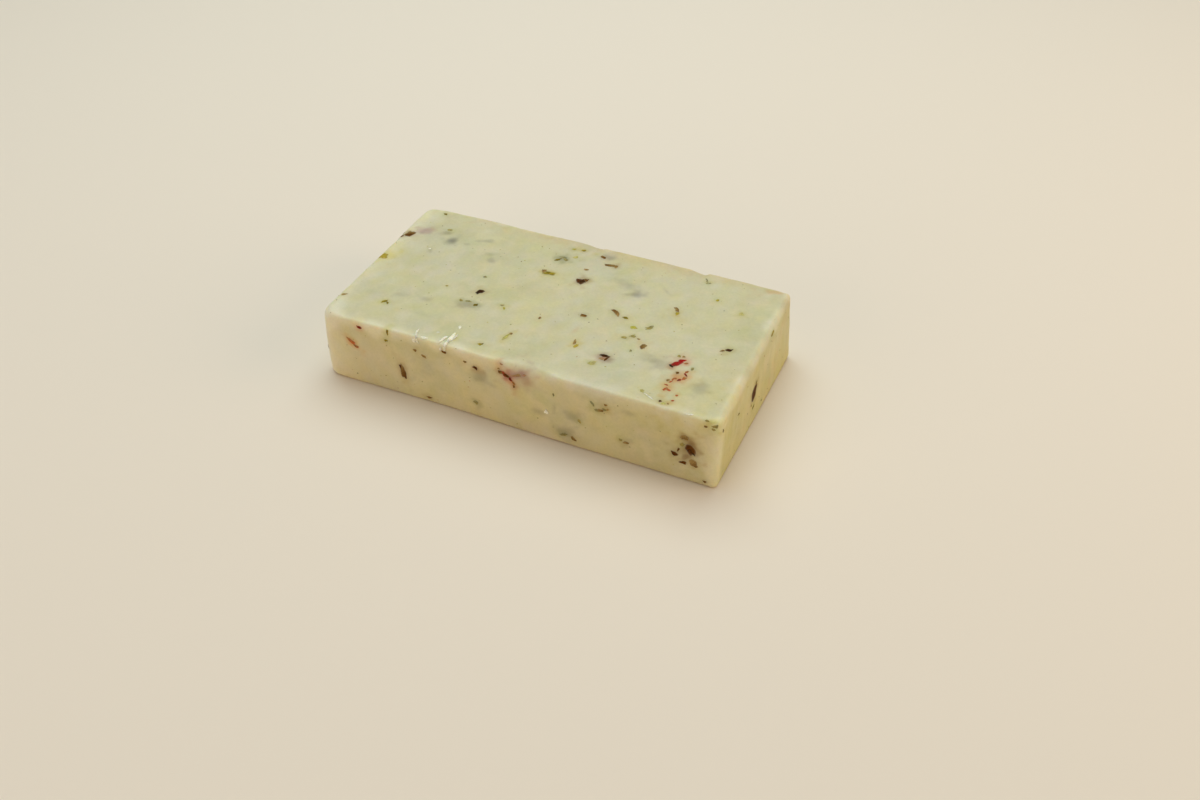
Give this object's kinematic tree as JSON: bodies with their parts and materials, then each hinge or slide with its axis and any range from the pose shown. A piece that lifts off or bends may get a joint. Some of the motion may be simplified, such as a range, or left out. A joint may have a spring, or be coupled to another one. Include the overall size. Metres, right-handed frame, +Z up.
{
  "type": "pepper jack block",
  "caption": "Rectangular bar of pale semi-soft cheese with diced chilli through it, one end cut square and the other worn round.",
  "frame": {"origin": "centre of the underside's outline, on the surface that the block rests on", "axes": "+X along the block's length towards the freshly cut end, +Y towards the back long side, +Z up"},
  "size_m": [0.1294, 0.0662, 0.0235],
  "materials": {
    "cheese": "satin",
    "green_chilli": "satin",
    "dark_chilli_skin": "satin",
    "red_chilli": "satin"
  },
  "bodies": {
    "root": {"cheese_block": "cheese"}
  },
  "joints": []
}
